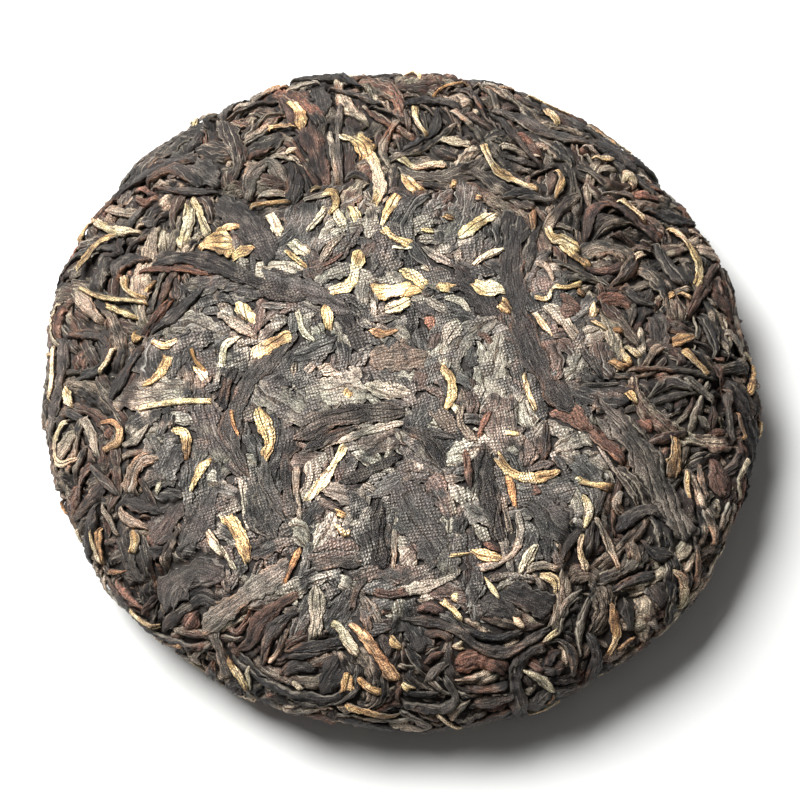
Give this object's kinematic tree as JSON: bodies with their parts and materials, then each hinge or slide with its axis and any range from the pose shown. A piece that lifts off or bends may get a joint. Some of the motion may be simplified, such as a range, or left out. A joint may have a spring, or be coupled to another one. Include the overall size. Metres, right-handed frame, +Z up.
{
  "type": "pressed black tea cake",
  "caption": "Round low-domed cake of pressed black tea leaves, with a soft square outline, a rounded rim and a shallow knot hollow in its flat underside.",
  "frame": {"origin": "middle of the flat underside, on the surface that the cake lies on", "axes": "+Z up through the domed face, -Y towards the viewer of the picture, +X to the viewer's right"},
  "size_m": [0.1089, 0.109, 0.019],
  "materials": {
    "black_tea": "matte",
    "red_brown_leaf": "matte",
    "grey_leaf": "matte",
    "golden_bud": "matte",
    "dry_stem": "matte"
  },
  "bodies": {
    "root": {"tea_cake": "black_tea"}
  },
  "joints": []
}
